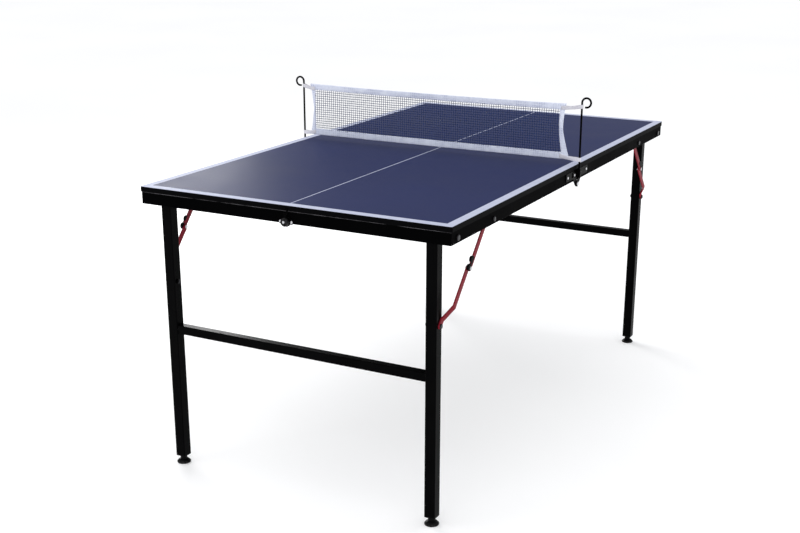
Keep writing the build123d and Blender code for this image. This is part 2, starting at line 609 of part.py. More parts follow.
def link_bolt():
    """The strut's share of its lower pivot: head and short shank, clear of the leg."""
    shank = rod_y(0, 0, STRUT_BOLT_RADIUS, LEG_OUTER + BODY_GAP, EYE_OUTER_Y)
    head = domed_head((0, EYE_OUTER_Y, 0), (0, 1, 0), STRUT_HEAD_RADIUS, BOLT_HEAD_HEIGHT)
    return strut_place(SPAN_OPEN) * (shank + head)


# ---- End latch ----

def end_plate(centre_z, hole_radius, hole_z):
    """The screwed plate of the latch and of its keeper."""
    ears = RectangleRounded(LATCH_PLATE_WIDTH, LATCH_PLATE_HEIGHT, LATCH_EAR_ROUNDING)
    outline = Pos(0, centre_z) * (ears + Circle(LATCH_PLATE_RADIUS))
    outline -= Pos(0, hole_z) * Circle(hole_radius)
    for y in (-LATCH_SCREW_SPACING / 2, LATCH_SCREW_SPACING / 2):
        outline -= Pos(y, centre_z) * Circle(SCREW_RADIUS + SEATED_FIT)
    return Plane.YZ.offset(END_FACE) * extrude(outline, LATCH_PLATE_THICKNESS)


def latch_plate():
    """The latch's base plate with the boss that its knob turns on."""
    plate = end_plate(LATCH_Z, LATCH_SHAFT_RADIUS + RUNNING_FIT, LATCH_Z)
    boss = rod_x(0, LATCH_Z, LATCH_BOSS_RADIUS, LATCH_PLATE_FACE, LATCH_PLATE_FACE + LATCH_BOSS_HEIGHT)
    boss -= rod_x(0, LATCH_Z, LATCH_SHAFT_RADIUS + RUNNING_FIT, LATCH_PLATE_FACE - CUT_OVERRUN, KNOB_BACK)
    return plate + boss


def latch_tongue():
    """The hooked tongue that turns with the knob and catches the keeper stud."""
    tip = Pos(0, LATCH_Z + LATCH_REACH)
    notch = KEEPER_STUD_RADIUS + BODY_GAP
    outline = Pos(0, LATCH_Z + LATCH_REACH / 2) * Rectangle(LATCH_TONGUE_WIDTH, LATCH_REACH)
    outline += tip * Circle(KEEPER_STUD_RADIUS + LATCH_HOOK_WALL)
    outline += Pos(0, LATCH_Z) * Circle(LATCH_ROUND_END)
    outline -= tip * (Circle(notch) + Pos(notch * 2, 0) * Rectangle(notch * 4, notch * 2))
    outline -= Pos(0, LATCH_Z) * Circle(LATCH_SHAFT_RADIUS + SEATED_FIT)
    return Plane.YZ.offset(TONGUE_BACK) * extrude(outline, LATCH_TONGUE_THICKNESS)


def latch_knob():
    """The round turn knob with a finger ridge and its shaft."""
    knob = rod_x(0, LATCH_Z, LATCH_KNOB_RADIUS, KNOB_BACK, KNOB_FRONT - LATCH_RIDGE_HEIGHT)
    knob = fillet(knob.edges().sort_by(Axis.X)[-1], LATCH_KNOB_ROUNDING)
    ridge_reach = LATCH_KNOB_RADIUS - LATCH_RIDGE_INSET
    ridge = span_box((KNOB_BACK + CUT_OVERRUN, KNOB_FRONT),
                     (-LATCH_RIDGE_WIDTH / 2, LATCH_RIDGE_WIDTH / 2),
                     (LATCH_Z - ridge_reach, LATCH_Z + ridge_reach))
    ridge = fillet(ridge.edges().group_by(Axis.X)[-1], LATCH_RIDGE_ROUNDING)
    shaft = rod_x(0, LATCH_Z, LATCH_SHAFT_RADIUS, LATCH_PLATE_FACE - LATCH_SHAFT_DEPTH, KNOB_BACK)
    return knob + ridge + shaft


def latch_keeper():
    """The far end's plate with the headed stud that the tongue hooks over."""
    plate = end_plate(KEEPER_PLATE_Z, KEEPER_STUD_RADIUS - KEEPER_STUD_SEAT, KEEPER_Z)
    stud = rod_x(0, KEEPER_Z, KEEPER_STUD_RADIUS, END_FACE + KEEPER_STUD_SEAT, KNOB_FRONT)
    head = rod_x(0, KEEPER_Z, KEEPER_HEAD_RADIUS, KNOB_FRONT - KEEPER_HEAD_HEIGHT, KNOB_FRONT)
    return plate + stud + head


# ---- Net ----

def net_post():
    """A wire post with an open eye at its top that curls outwards."""
    loop_z = TABLE_HEIGHT + POST_LOOP_HEIGHT
    foot_z = SOCKET_BOTTOM + SOCKET_FLOOR + BODY_GAP
    stem = rod_z(0, POST_Y, POST_RADIUS, foot_z, loop_z)
    section = Plane.XY.offset(loop_z) * (Pos(0, POST_Y) * Circle(POST_RADIUS))
    loop_axis = Axis((0, POST_Y + POST_LOOP_RADIUS, loop_z), (-1, 0, 0))
    return stem + revolve(section, loop_axis, POST_LOOP_SWEEP)


def net_mesh():
    """The stretched netting inside its tapes."""
    half = NET_HALF - TAPE_SIDE_WIDTH
    return span_box((-NET_THICKNESS / 2, NET_THICKNESS / 2), (-half, half),
                    (NET_LOW_Z + TAPE_BOTTOM_WIDTH, NET_HIGH_Z - TAPE_TOP_WIDTH))


def strap(z_low):
    """A webbing strap from the net's corner round its post."""
    z_high = z_low + STRAP_HEIGHT
    inner_radius = POST_RADIUS + BODY_GAP
    band = span_box((-STRAP_THICKNESS / 2, STRAP_THICKNESS / 2), (NET_HALF - STRAP_OVERLAP, POST_Y),
                    (z_low, z_high))
    ring = rod_z(0, POST_Y, inner_radius + STRAP_THICKNESS, z_low, z_high)
    return band + ring - rod_z(0, POST_Y, inner_radius, z_low - CUT_OVERRUN, z_high + CUT_OVERRUN)


def net_tapes():
    """The webbing frame round the netting with its four straps."""
    window = NET_HALF - TAPE_SIDE_WIDTH
    frame = span_box((-TAPE_THICKNESS / 2, TAPE_THICKNESS / 2), (-NET_HALF, NET_HALF),
                     (NET_LOW_Z, NET_HIGH_Z))
    frame -= span_box((-TAPE_THICKNESS, TAPE_THICKNESS), (-window, window),
                      (NET_LOW_Z + TAPE_BOTTOM_WIDTH, NET_HIGH_Z - TAPE_TOP_WIDTH))
    for z_low in (TABLE_HEIGHT + STRAP_BOTTOM_RISE, NET_HIGH_Z - STRAP_TOP_DROP - STRAP_HEIGHT):
        for tie in both_sides(strap(z_low)):
            frame += tie
    return frame


# ---- All nodes ----

def build_nodes():
    """Every node's solids, by name."""
    nodes = {}
    hinge_plates = {"a": hinge_plate_inner(), "b": hinge_plate_outer()}
    screw_heights = {"a": LATCH_Z, "b": KEEPER_PLATE_Z}
    for half, end in ENDS.items():
        nodes[f"top_panel_{half}"] = [placed(top_panel(), end)]
        nodes[f"end_rail_{half}"] = [placed(end_rail(half == "a"), end)]
        nodes[f"mid_rail_{half}"] = [placed(mid_rail(), end)]
        nodes[f"corner_brackets_{half}"] = corner_brackets(end)
        nodes[f"hinge_plates_{half}"] = both_sides(hinge_plates[half], end)
        nodes[f"plate_screws_{half}"] = plate_screws(end, screw_heights[half])
        nodes[f"rail_bolts_{half}"] = rail_bolts(end)
        nodes[f"crossbar_{half}"] = [placed(crossbar(), end)]
        nodes[f"pivot_sleeves_{half}"] = both_sides(pivot_sleeve(), end)
        nodes[f"foot_inserts_{half}"] = both_sides(foot_insert(), end)
        nodes[f"leg_bolts_{half}"] = both_sides(leg_bolt(), end)
        for name, side in SIDES.items():
            nodes[f"side_rail_{half}_{name}"] = [placed(side_rail(), end, side)]
            nodes[f"leg_{half}_{name}"] = [placed(leg(), end, side)]
            nodes[f"foot_{half}_{name}"] = [placed(levelling_foot(), end, side)]
            nodes[f"upper_link_{half}_{name}"] = [placed(upper_link(), end, side)]
            nodes[f"strut_lock_{half}_{name}"] = [placed(strut_lock(), end, side)]
            nodes[f"lower_link_{half}_{name}"] = [placed(lower_link(), end, side)]
            nodes[f"link_bolt_{half}_{name}"] = [placed(link_bolt(), end, side)]
    nodes["hinge_pins"] = both_sides(hinge_pin())
    nodes["net_sockets"] = both_sides(net_socket(), ENDS["a"])
    nodes["latch_plate"] = [placed(latch_plate(), ENDS["a"])]
    nodes["latch_tongue"] = [placed(latch_tongue(), ENDS["a"])]
    nodes["latch_knob"] = [placed(latch_knob(), ENDS["a"])]
    nodes["latch_keeper"] = [latch_keeper()]
    for name, side in SIDES.items():
        nodes[f"net_post_{name}"] = [placed(net_post(), 1, side)]
    nodes["net_mesh"] = [net_mesh()]
    nodes["net_tapes"] = [net_tapes()]
    return nodes


os.makedirs("parts", exist_ok=True)
for node, pieces in build_nodes().items():
    solids = [solid for piece in pieces for solid in piece.solids()]
    shape = solids[0] if len(solids) == 1 else Compound(children=solids)
    export_step(shape, f"parts/{node}.step")
    print(node, len(solids))
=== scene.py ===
import json
import math
import random

import bpy
from mathutils import Matrix, Vector


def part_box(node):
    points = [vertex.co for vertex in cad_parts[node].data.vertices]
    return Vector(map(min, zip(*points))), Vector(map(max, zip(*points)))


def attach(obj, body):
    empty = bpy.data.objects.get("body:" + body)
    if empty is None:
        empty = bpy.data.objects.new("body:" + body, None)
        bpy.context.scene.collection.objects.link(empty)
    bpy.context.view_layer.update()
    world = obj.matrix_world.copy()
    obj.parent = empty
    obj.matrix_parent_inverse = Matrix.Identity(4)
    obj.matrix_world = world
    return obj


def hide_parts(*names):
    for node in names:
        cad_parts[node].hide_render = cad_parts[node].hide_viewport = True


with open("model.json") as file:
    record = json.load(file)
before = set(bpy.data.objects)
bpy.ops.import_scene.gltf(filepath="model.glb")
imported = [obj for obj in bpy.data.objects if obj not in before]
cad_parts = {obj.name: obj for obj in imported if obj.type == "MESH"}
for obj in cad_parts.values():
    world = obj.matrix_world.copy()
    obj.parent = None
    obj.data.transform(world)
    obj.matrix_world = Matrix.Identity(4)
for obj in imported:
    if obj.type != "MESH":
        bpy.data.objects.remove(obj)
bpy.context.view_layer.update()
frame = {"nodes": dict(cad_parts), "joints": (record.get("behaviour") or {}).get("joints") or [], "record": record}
NODES = frame["nodes"]
JOINTS = {joint["name"]: joint for joint in frame["joints"]}
random.seed(7)

# Painted lines on the playing surface, in metres
BORDER_LINE = 0.0195
CENTRE_LINE = 0.0026
PAINT_EDGE = 0.00015
PAINTED_DEPTH = 0.0007
# Height of the painted highlight line along the top of the rails' outer face, at the joint under the panel
JOINT_HIGHLIGHT_BAND = 0.0015

# Net, in metres
TOP_TAPE = 0.015
BOTTOM_TAPE = 0.016
END_TAPE = 0.014
TAPE_THICKNESS = 0.0017
CELL = 0.006
CORD_RADIUS = 0.00065
CORD_WANDER = 0.00035
NET_SHIFT = 0.0085
NET_SAG = 0.0022
END_REACH = 0.07
KINK_AT, KINK_SPAN = 0.52, 0.46
LEFT_KINK, LEFT_FLARE = 0.0105, 0.0030
RIGHT_KINK, RIGHT_BOW, RIGHT_FLARE = 0.0035, 0.0040, 0.0120
RIPPLE_BROAD, RIPPLE_FINE, END_CURL = 0.0011, 0.0006, 0.0022
STITCH_PITCH = 0.0034
STRAP_THICKNESS = 0.0009
STRAP_LAP = 0.012
STRAP_BOW = 0.0012
THREAD_RADIUS = 0.00028

# Painted highlight spot on the latch knob, and the lock rivet, in metres
PAINTED_HIGHLIGHT_RADIUS = 0.0028
PAINTED_HIGHLIGHT_EDGE = 0.0008
PAINTED_HIGHLIGHT_LIFT = 0.0008
RIVET_RADIUS = 0.0042
RIVET_EDGE = 0.0002


# ---- Materials ----

class Graph:
    """A material's node graph, built in short calls."""

    def __init__(self, name, **shader):
        self.material = bpy.data.materials.new(name)
        self.material.use_nodes = True
        self.tree = self.material.node_tree
        self.shader = self.tree.nodes["Principled BSDF"]
        self.place = self.node("TexCoord", {})["Object"]
        for socket, value in shader.items():
            self.shader.inputs[socket.replace("_", " ")].default_value = value

    def node(self, kind, inputs, **settings):
        """A node with its settings, constants and links; gives its outputs."""
        made = self.tree.nodes.new("ShaderNode" + kind)
        for key, value in settings.items():
            setattr(made, key, value)
        for key, value in inputs.items():
            if isinstance(value, bpy.types.NodeSocket):
                self.tree.links.new(value, made.inputs[key])
            else:
                made.inputs[key].default_value = value
        return made.outputs

    def math(self, operation, *values):
        return self.node("Math", dict(enumerate(values)), operation=operation)[0]

    def noise(self, scale, detail=3.0, roughness=0.55, stretch=(1, 1, 1)):
        where = self.node("Mapping", {"Vector": self.place, "Scale": stretch})[0]
        return self.node("TexNoise", {"Vector": where, "Scale": scale, "Detail": detail,
                                      "Roughness": roughness})[0]

    def spread(self, value, low, high, to_low=0.0, to_high=1.0):
        """A value from one range carried onto another, and held inside it."""
        return self.node("MapRange", {"Value": value, "From Min": low, "From Max": high,
                                      "To Min": to_low, "To Max": to_high})[0]

    def mix(self, share, first, second):
        """A colour between two, each a colour or another node's output."""
        first = first if isinstance(first, bpy.types.NodeSocket) else (*first, 1)
        second = second if isinstance(second, bpy.types.NodeSocket) else (*second, 1)
        return self.node("Mix", {0: share, 6: first, 7: second}, data_type="RGBA")[2]

    def edges(self, radius, low=0.02, high=0.3):
        """1 where a bevelled normal leaves the real one, at a convex or concave edge."""
        soft = self.node("Bevel", {"Radius": radius}, samples=4)[0]
        real = self.node("NewGeometry", {})["Normal"]
        agree = self.node("VectorMath", {0: soft, 1: real}, operation="DOT_PRODUCT")["Value"]
        return self.spread(self.math("SUBTRACT", 1.0, agree), low, high)

    def finish(self, colour, roughness, heights):
        """Links colour, roughness and a chain of bumps, each (height, strength, distance)."""
        normal = None
        for height, strength, distance in heights:
            inputs = {"Height": height, "Strength": strength, "Distance": distance}
            if normal is not None:
                inputs["Normal"] = normal
            normal = self.node("Bump", inputs)["Normal"]
        self.tree.links.new(colour, self.shader.inputs["Base Color"])
        self.tree.links.new(roughness, self.shader.inputs["Roughness"])
        if normal is not None:
            self.tree.links.new(normal, self.shader.inputs["Normal"])
        return self.material


def playing_surface():
    """Navy paint with white lines on top, and black paint on the edges and underside."""
    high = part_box("top_panel_b")[1]
    g = Graph("navy_top_with_lines", Specular_IOR_Level=0.012)
    x, y, z = g.node("SeparateXYZ", {0: g.place})
    x, y = g.math("ABSOLUTE", x), g.math("ABSOLUTE", y)
    wander = g.math("MULTIPLY", g.math("SUBTRACT", g.noise(160, 2), 0.5), 0.0004)
    past_side = g.math("SUBTRACT", y, high.y - BORDER_LINE)
    past_end = g.math("SUBTRACT", x, high.x - BORDER_LINE)
    in_centre = g.math("SUBTRACT", CENTRE_LINE / 2, y)
    rim = g.math("MAXIMUM", past_side, past_end)
    line = g.spread(g.math("ADD", g.math("MAXIMUM", rim, in_centre), wander), -PAINT_EDGE, PAINT_EDGE)
    painted = g.spread(z, high.z - PAINTED_DEPTH, high.z - PAINTED_DEPTH / 2)
    scuff = g.spread(g.noise(38, 6, 0.7, (1, 5, 1)), 0.62, 0.78)
    hair = g.spread(g.noise(60, 2, 0.5, (0.3, 9, 1)), 0.7, 0.74)
    cloud = g.noise(3.5, 3)
    grain = g.noise(900, 2)
    navy = g.mix(g.spread(cloud, 0.3, 0.7), (0.0170, 0.0232, 0.077), (0.0208, 0.0280, 0.090))
    navy = g.mix(g.math("MULTIPLY", grain, 0.25), navy, (0.027, 0.034, 0.101))
    navy = g.mix(g.math("MULTIPLY", g.math("MAXIMUM", scuff, hair), 0.16), navy, (0.07, 0.075, 0.15))
    white = g.mix(g.spread(g.noise(70, 5, 0.7), 0.35, 0.75), (0.44, 0.47, 0.60), (0.52, 0.54, 0.66))
    white = g.mix(g.math("MULTIPLY", scuff, 0.25), white, (0.30, 0.31, 0.40))
    black = g.mix(g.noise(240, 4), (0.0010, 0.0010, 0.0013), (0.0022, 0.0022, 0.0026))
    black = g.mix(g.math("MULTIPLY", g.edges(0.0015), 0.2), black, (0.03, 0.03, 0.032))
    underside = g.mix(cloud, (0.008, 0.008, 0.0085), (0.014, 0.014, 0.015))
    beneath = g.mix(g.spread(rim, -PAINT_EDGE, PAINT_EDGE), underside, black)
    colour = g.mix(painted, beneath, g.mix(line, navy, white))
    rough = g.math("ADD", g.spread(cloud, 0.3, 0.7, 0.36, 0.43), g.math("MULTIPLY", scuff, 0.09))
    rough = g.math("ADD", rough, g.math("MULTIPLY", line, 0.08))
    return g.finish(colour, rough, [(grain, 0.10, 0.0004), (g.noise(130, 3), 0.06, 0.0012),
                                    (g.math("MULTIPLY", line, painted), 0.4, 0.00008)])


def painted_wood():
    """Satin black paint on a fibreboard rail, with edge wear that partly stands as a painted edge highlight, and a
    painted highlight line at the joint under the panel.
    """
    g = Graph("black_painted_rail", Specular_IOR_Level=0.003)
    broad = g.noise(9, 4)
    fine = g.noise(620, 3)
    fibre = g.noise(150, 4, 0.6, (0.25, 0.25, 3.5))
    colour = g.mix(broad, (0.0005, 0.0005, 0.0006), (0.0012, 0.0012, 0.0014))
    colour = g.mix(g.math("MULTIPLY", fibre, 0.3), colour, (0.002, 0.002, 0.0023))
    # Lighter edges: partly real wear, partly a painted highlight along the rail's edges
    wear = g.math("MULTIPLY", g.edges(0.0012), g.spread(g.noise(85, 4, 0.7), 0.35, 0.7))
    colour = g.mix(g.math("MULTIPLY", wear, 0.4), colour, (0.03, 0.03, 0.032))
    parted = g.node("SeparateXYZ", {0: g.place})
    outer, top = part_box("end_rail_a")
    # Painted highlight: a thin light line along the top of the rail's outer face at the joint under the panel,
    # full on the end rails, faint on the side rails, broken into dashes by noise
    under_panel = g.spread(parted["Z"], top.z - JOINT_HIGHLIGHT_BAND, top.z - JOINT_HIGHLIGHT_BAND / 2)
    at_end = g.spread(g.math("ABSOLUTE", parted["X"]), abs(outer.x) - JOINT_HIGHLIGHT_BAND, abs(outer.x), 0.1, 1.0)
    painted_joint_highlight = g.math("MULTIPLY", g.math("MULTIPLY", under_panel, at_end), g.spread(g.noise(22, 3), 0.35, 0.6))
    colour = g.mix(g.math("MULTIPLY", painted_joint_highlight, 0.9), colour, (0.24, 0.23, 0.245))
    rough = g.math("ADD", g.spread(broad, 0.3, 0.7, 0.33, 0.45), g.math("MULTIPLY", fine, 0.08))
    return g.finish(colour, rough, [(fine, 0.12, 0.0004), (fibre, 0.16, 0.0006)])


def powder_coat(name, dark, light, bare, specular, rough_low, rough_high):
    """A powder-coated metal: orange-peel bump, dust in the broad noise, bare metal at the edges."""
    g = Graph(name, Specular_IOR_Level=specular)
    broad = g.noise(14, 4)
    peel = g.noise(1100, 2)
    colour = g.mix(g.spread(broad, 0.3, 0.7), dark, light)
    chips = g.spread(g.noise(210, 5, 0.75), 0.56, 0.66)
    wear = g.math("MULTIPLY", g.edges(0.0009), chips)
    dust = g.spread(g.noise(33, 6, 0.7), 0.6, 0.85)
    colour = g.mix(g.math("MULTIPLY", dust, 0.05), colour, (0.03, 0.029, 0.028))
    colour = g.mix(g.math("MULTIPLY", wear, 0.6), colour, bare)
    rough = g.math("ADD", g.spread(broad, 0.3, 0.7, rough_low, rough_high),
                   g.math("MULTIPLY", g.math("ADD", dust, wear), 0.12))
    return g.finish(colour, rough, [(peel, 0.22, 0.0003), (g.noise(260, 3), 0.1, 0.0005),
                                    (g.math("SUBTRACT", 1.0, wear), 0.3, 0.00006)])


def bare_metal(name, dark, light, rough_low, rough_high, turned=0.1):
    """A plated metal with fine turning marks, smudges and dirt in its corners."""
    g = Graph(name, Metallic=1.0)
    smudge = g.noise(120, 5, 0.6)
    marks = g.noise(2600, 2, 0.5, (0.15, 1, 1))
    grime = g.spread(g.noise(340, 5, 0.7), 0.5, 0.8)
    colour = g.mix(g.spread(smudge, 0.3, 0.7), dark, light)
    colour = g.mix(g.math("MULTIPLY", g.math("MULTIPLY", grime, g.edges(0.0008)), 0.5), colour,
                   (0.10, 0.09, 0.08))
    rough = g.math("ADD", g.spread(smudge, 0.3, 0.7, rough_low, rough_high), g.math("MULTIPLY", marks, 0.08))
    return g.finish(colour, rough, [(marks, turned, 0.0002)])


def moulded_plastic():
    """Glossy black plastic with a fine moulded grain and dust low down."""
    g = Graph("glossy_black_plastic", Specular_IOR_Level=0.04)
    height = g.node("SeparateXYZ", {0: g.place})["Z"]
    mottle = g.noise(420, 4)
    colour = g.mix(mottle, (0.0018, 0.0018, 0.002), (0.004, 0.004, 0.0044))
    dust = g.math("MULTIPLY", g.spread(height, 0.007, 0.001), g.spread(g.noise(260, 5, 0.7), 0.4, 0.7))
    colour = g.mix(g.math("MULTIPLY", dust, 0.4), colour, (0.13, 0.125, 0.12))
    rough = g.math("ADD", g.spread(mottle, 0.3, 0.7, 0.14, 0.24), g.math("MULTIPLY", dust, 0.35))
    return g.finish(colour, rough, [(g.noise(1500, 2), 0.12, 0.0002), (g.noise(180, 2), 0.08, 0.0008)])


def lock_with_rivet():
    """The black elbow lock, with bare steel where its rivet stands."""
    elbow = JOINTS["strut_lower_turn_b_left"]["pos_m"]
    g = Graph("black_lock_bright_rivet", Specular_IOR_Level=0.03)
    parted = g.node("SeparateXYZ", {0: g.place})
    across = g.math("SUBTRACT", g.math("ABSOLUTE", parted["X"]), abs(elbow[0]))
    up = g.math("SUBTRACT", parted["Z"], elbow[2])
    away = g.math("SQRT", g.math("ADD", g.math("MULTIPLY", across, across), g.math("MULTIPLY", up, up)))
    rivet = g.spread(away, RIVET_RADIUS + RIVET_EDGE, RIVET_RADIUS)
    peel = g.noise(1000, 3)
    black = g.mix(g.noise(60, 4), (0.0015, 0.0015, 0.0018), (0.0035, 0.0035, 0.004))
    steel = g.mix(g.noise(500, 4), (0.42, 0.42, 0.43), (0.62, 0.62, 0.63))
    colour = g.mix(rivet, g.mix(g.math("MULTIPLY", g.edges(0.0007), 0.2), black, (0.08, 0.08, 0.08)), steel)
    rough = g.math("SUBTRACT", g.spread(peel, 0.3, 0.7, 0.38, 0.48), g.math("MULTIPLY", rivet, 0.12))
    g.tree.links.new(rivet, g.shader.inputs["Metallic"])
    return g.finish(colour, rough, [(peel, 0.2, 0.0003)])


def latch_with_painted_highlight():
    """Dark lacquered knob and screws, with a painted highlight: bright metal in a spot just above the knob's
    middle, and faintly along their edges.
    """
    low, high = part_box("latch_knob")
    g = Graph("dark_latch_painted_highlight", Specular_IOR_Level=0.16)
    y, z = g.node("SeparateXYZ", {0: g.place})[1:]
    across = g.math("SUBTRACT", y, (low.y + high.y) / 2)
    up = g.math("SUBTRACT", z, (low.z + high.z) / 2 + PAINTED_HIGHLIGHT_LIFT)
    away = g.math("SQRT", g.math("ADD", g.math("MULTIPLY", across, across), g.math("MULTIPLY", up, up)))
    away = g.math("ADD", away, g.math("MULTIPLY", g.noise(420, 3), 0.0010))
    # Painted highlight: bright metallic steel in a small spot above the knob's middle, and a faint lightening
    # along the edges
    painted_highlight = g.math("MAXIMUM", g.spread(away, PAINTED_HIGHLIGHT_RADIUS + PAINTED_HIGHLIGHT_EDGE, PAINTED_HIGHLIGHT_RADIUS),
                  g.math("MULTIPLY", g.edges(0.0008), 0.1))
    smudge = g.noise(160, 4)
    lacquer = g.mix(smudge, (0.0020, 0.0020, 0.0024), (0.006, 0.006, 0.007))
    steel = g.mix(smudge, (0.45, 0.45, 0.47), (0.62, 0.62, 0.64))
    rough = g.spread(smudge, 0.3, 0.7, 0.12, 0.22)
    g.tree.links.new(painted_highlight, g.shader.inputs["Metallic"])
    return g.finish(g.mix(painted_highlight, lacquer, steel), rough, [(g.noise(1400, 2), 0.08, 0.0002)])


def nylon(name, light, dark, shade):
    """Nylon cord or thread with a twist that shows close to."""
    g = Graph(name, Specular_IOR_Level=0.1, Sheen_Weight=0.03)
    y, z = g.node("SeparateXYZ", {0: g.place})[1:]
    twist = g.math("SINE", g.math("MULTIPLY", g.math("ADD", y, z), 9000.0))
    twist = g.spread(twist, -1, 1)
    soil = g.noise(45, 5, 0.65)
    colour = g.mix(g.spread(soil, 0.3, 0.75), light, dark)
    colour = g.mix(g.math("MULTIPLY", twist, 0.2), colour, shade)
    rough = g.spread(g.noise(700, 3), 0.3, 0.7, 0.5, 0.7)
    return g.finish(colour, rough, [(twist, 0.4, 0.0001)])


def webbing(name, light, dark, mesh_shows):
    """Thin woven tape: plain weave, soil, and the netting's cells showing through it."""
    g = Graph(name, Specular_IOR_Level=0.25, Sheen_Weight=0.35, Sheen_Roughness=0.4)
    y, z = g.node("SeparateXYZ", {0: g.place})[1:]
    warp = g.math("SINE", g.math("MULTIPLY", y, 2 * math.pi / 0.0011))
    weft = g.math("SINE", g.math("MULTIPLY", z, 2 * math.pi / 0.0009))
    weave = g.spread(g.math("MULTIPLY", warp, weft), -1, 1)
    across = g.math("ABSOLUTE", g.math("SINE", g.math("MULTIPLY", y, math.pi / CELL)))
    upward = g.math("ABSOLUTE", g.math("SINE", g.math("MULTIPLY", z, math.pi / CELL)))
    cells = g.spread(g.math("MINIMUM", across, upward), 0.1, 0.55)
    patches = g.spread(g.noise(26, 4, 0.6), 0.4, 0.65)
    colour = g.mix(g.spread(g.noise(60, 5, 0.6), 0.3, 0.75), light, dark)
    colour = g.mix(g.math("MULTIPLY", weave, 0.22), colour, dark)
    shown = g.math("MULTIPLY", g.math("MULTIPLY", cells, patches), mesh_shows)
    colour = g.mix(shown, colour, (0.30, 0.33, 0.50))
    rough = g.spread(weave, 0, 1, 0.62, 0.8)
    return g.finish(colour, rough, [(weave, 0.5, 0.0002), (g.noise(55, 3), 0.35, 0.0012),
                                    (g.math("SUBTRACT", 1.0, cells), 0.3, 0.0003)])


BLACK_STEEL = powder_coat("black_powder_coat", (0.0005, 0.0005, 0.0006), (0.0012, 0.0012, 0.0014),
                          (0.13, 0.13, 0.135), 0.018, 0.2, 0.3)
RED = powder_coat("red_powder_coat", (0.175, 0.008, 0.017), (0.25, 0.013, 0.026),
                  (0.30, 0.20, 0.20), 0.06, 0.3, 0.42)
ZINC = bare_metal("bright_zinc", (0.48, 0.48, 0.50), (0.72, 0.72, 0.74), 0.16, 0.3)
WIRE = powder_coat("black_wire_enamel", (0.0006, 0.0006, 0.0007), (0.0014, 0.0014, 0.0016),
                   (0.16, 0.16, 0.165), 0.015, 0.22, 0.32)
FINISHES = {
    "blue_table_top": playing_surface(),
    "black_apron": painted_wood(),
    "black_steel": BLACK_STEEL,
    "red_strut": RED,
    "bright_fastener": ZINC,
    "foot_plastic": moulded_plastic(),
    "black_lock": lock_with_rivet(),
    "latch_chrome": latch_with_painted_highlight(),
    "latch_black": powder_coat("black_latch_paint", (0.0008, 0.0008, 0.0009), (0.0016, 0.0016, 0.0018),
                               (0.10, 0.10, 0.11), 0.01, 0.24, 0.34),
    "dark_fastener": bare_metal("black_zinc", (0.014, 0.014, 0.016), (0.045, 0.045, 0.048), 0.1, 0.2),
}
for row in frame["record"]["subparts"]:
    finish = FINISHES.get(row["material_slot"])
    if row["node"].startswith("net_post"):
        finish = WIRE
    if finish:
        node = NODES[row["node"]]
        if not node.material_slots:
            node.data.materials.append(finish)
        for held in node.material_slots:
            held.material = finish


# ---- Net ----

mesh_low, mesh_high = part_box("net_mesh")
HALF = mesh_high.y + END_TAPE
LOW = mesh_low.z - BOTTOM_TAPE
HIGH = mesh_high.z + TOP_TAPE


def hang(y, z, x=0.0):
    """A point of the flat net moved to where the hung net has it: sag, ripple and pinched ends."""
    t = (z - LOW) / (HIGH - LOW)
    s = y / HALF
    middle = 4 * t * (1 - t)
    near_end = max(0.0, (abs(y) - (HALF - END_REACH)) / END_REACH)
    outer = max(0.0, (abs(y) - (HALF - END_TAPE)) / END_TAPE)
    kink = max(0.0, 1.0 - abs(t - KINK_AT) / KINK_SPAN)
    if s < 0:
        pinch = (RIGHT_BOW * middle - RIGHT_FLARE * (1 - t) ** 2) * near_end ** 2 + RIGHT_KINK * kink * outer
    else:
        pinch = -LEFT_FLARE * (1 - middle) * near_end ** 2 + LEFT_KINK * kink * outer
    ripple = RIPPLE_BROAD * math.sin(9.1 * s + 0.6) + RIPPLE_FINE * math.sin(23.0 * s + 2.1 * t)
    curl = END_CURL * near_end ** 2 * math.sin(math.pi * t * 2.2 + (0.4 if s < 0 else 1.3))
    side = math.copysign(1.0, s)
    return Vector((x + ripple * (0.4 + 0.6 * middle) + curl, y + NET_SHIFT - side * pinch,
                   z - NET_SAG * (1 - s * s) * (0.35 + 0.65 * t)))


def mesh_object(name, vertices, faces, material, smooth=True):
    """A mesh object from plain lists, with one material."""
    mesh = bpy.data.meshes.new(name)
    mesh.from_pydata([tuple(v) for v in vertices], [], faces)
    mesh.validate()
    mesh.polygons.foreach_set("use_smooth", [smooth] * len(mesh.polygons))
    made = bpy.data.objects.new(name, mesh)
    bpy.context.scene.collection.objects.link(made)
    made.data.materials.append(material)
    return made


def loft(rings, vertices, faces):
    """Adds a closed skin over rings of points, with an end cap at each end."""
    base = len(vertices)
    count = len(rings[0])
    for ring in rings:
        vertices.extend(ring)
    for row in range(len(rings) - 1):
        for k in range(count):
            a = base + row * count + k
            b = base + row * count + (k + 1) % count
            faces.append((a, b, b + count, a + count))
    faces.append(tuple(base + k for k in reversed(range(count))))
    faces.append(tuple(base + (len(rings) - 1) * count + k for k in range(count)))


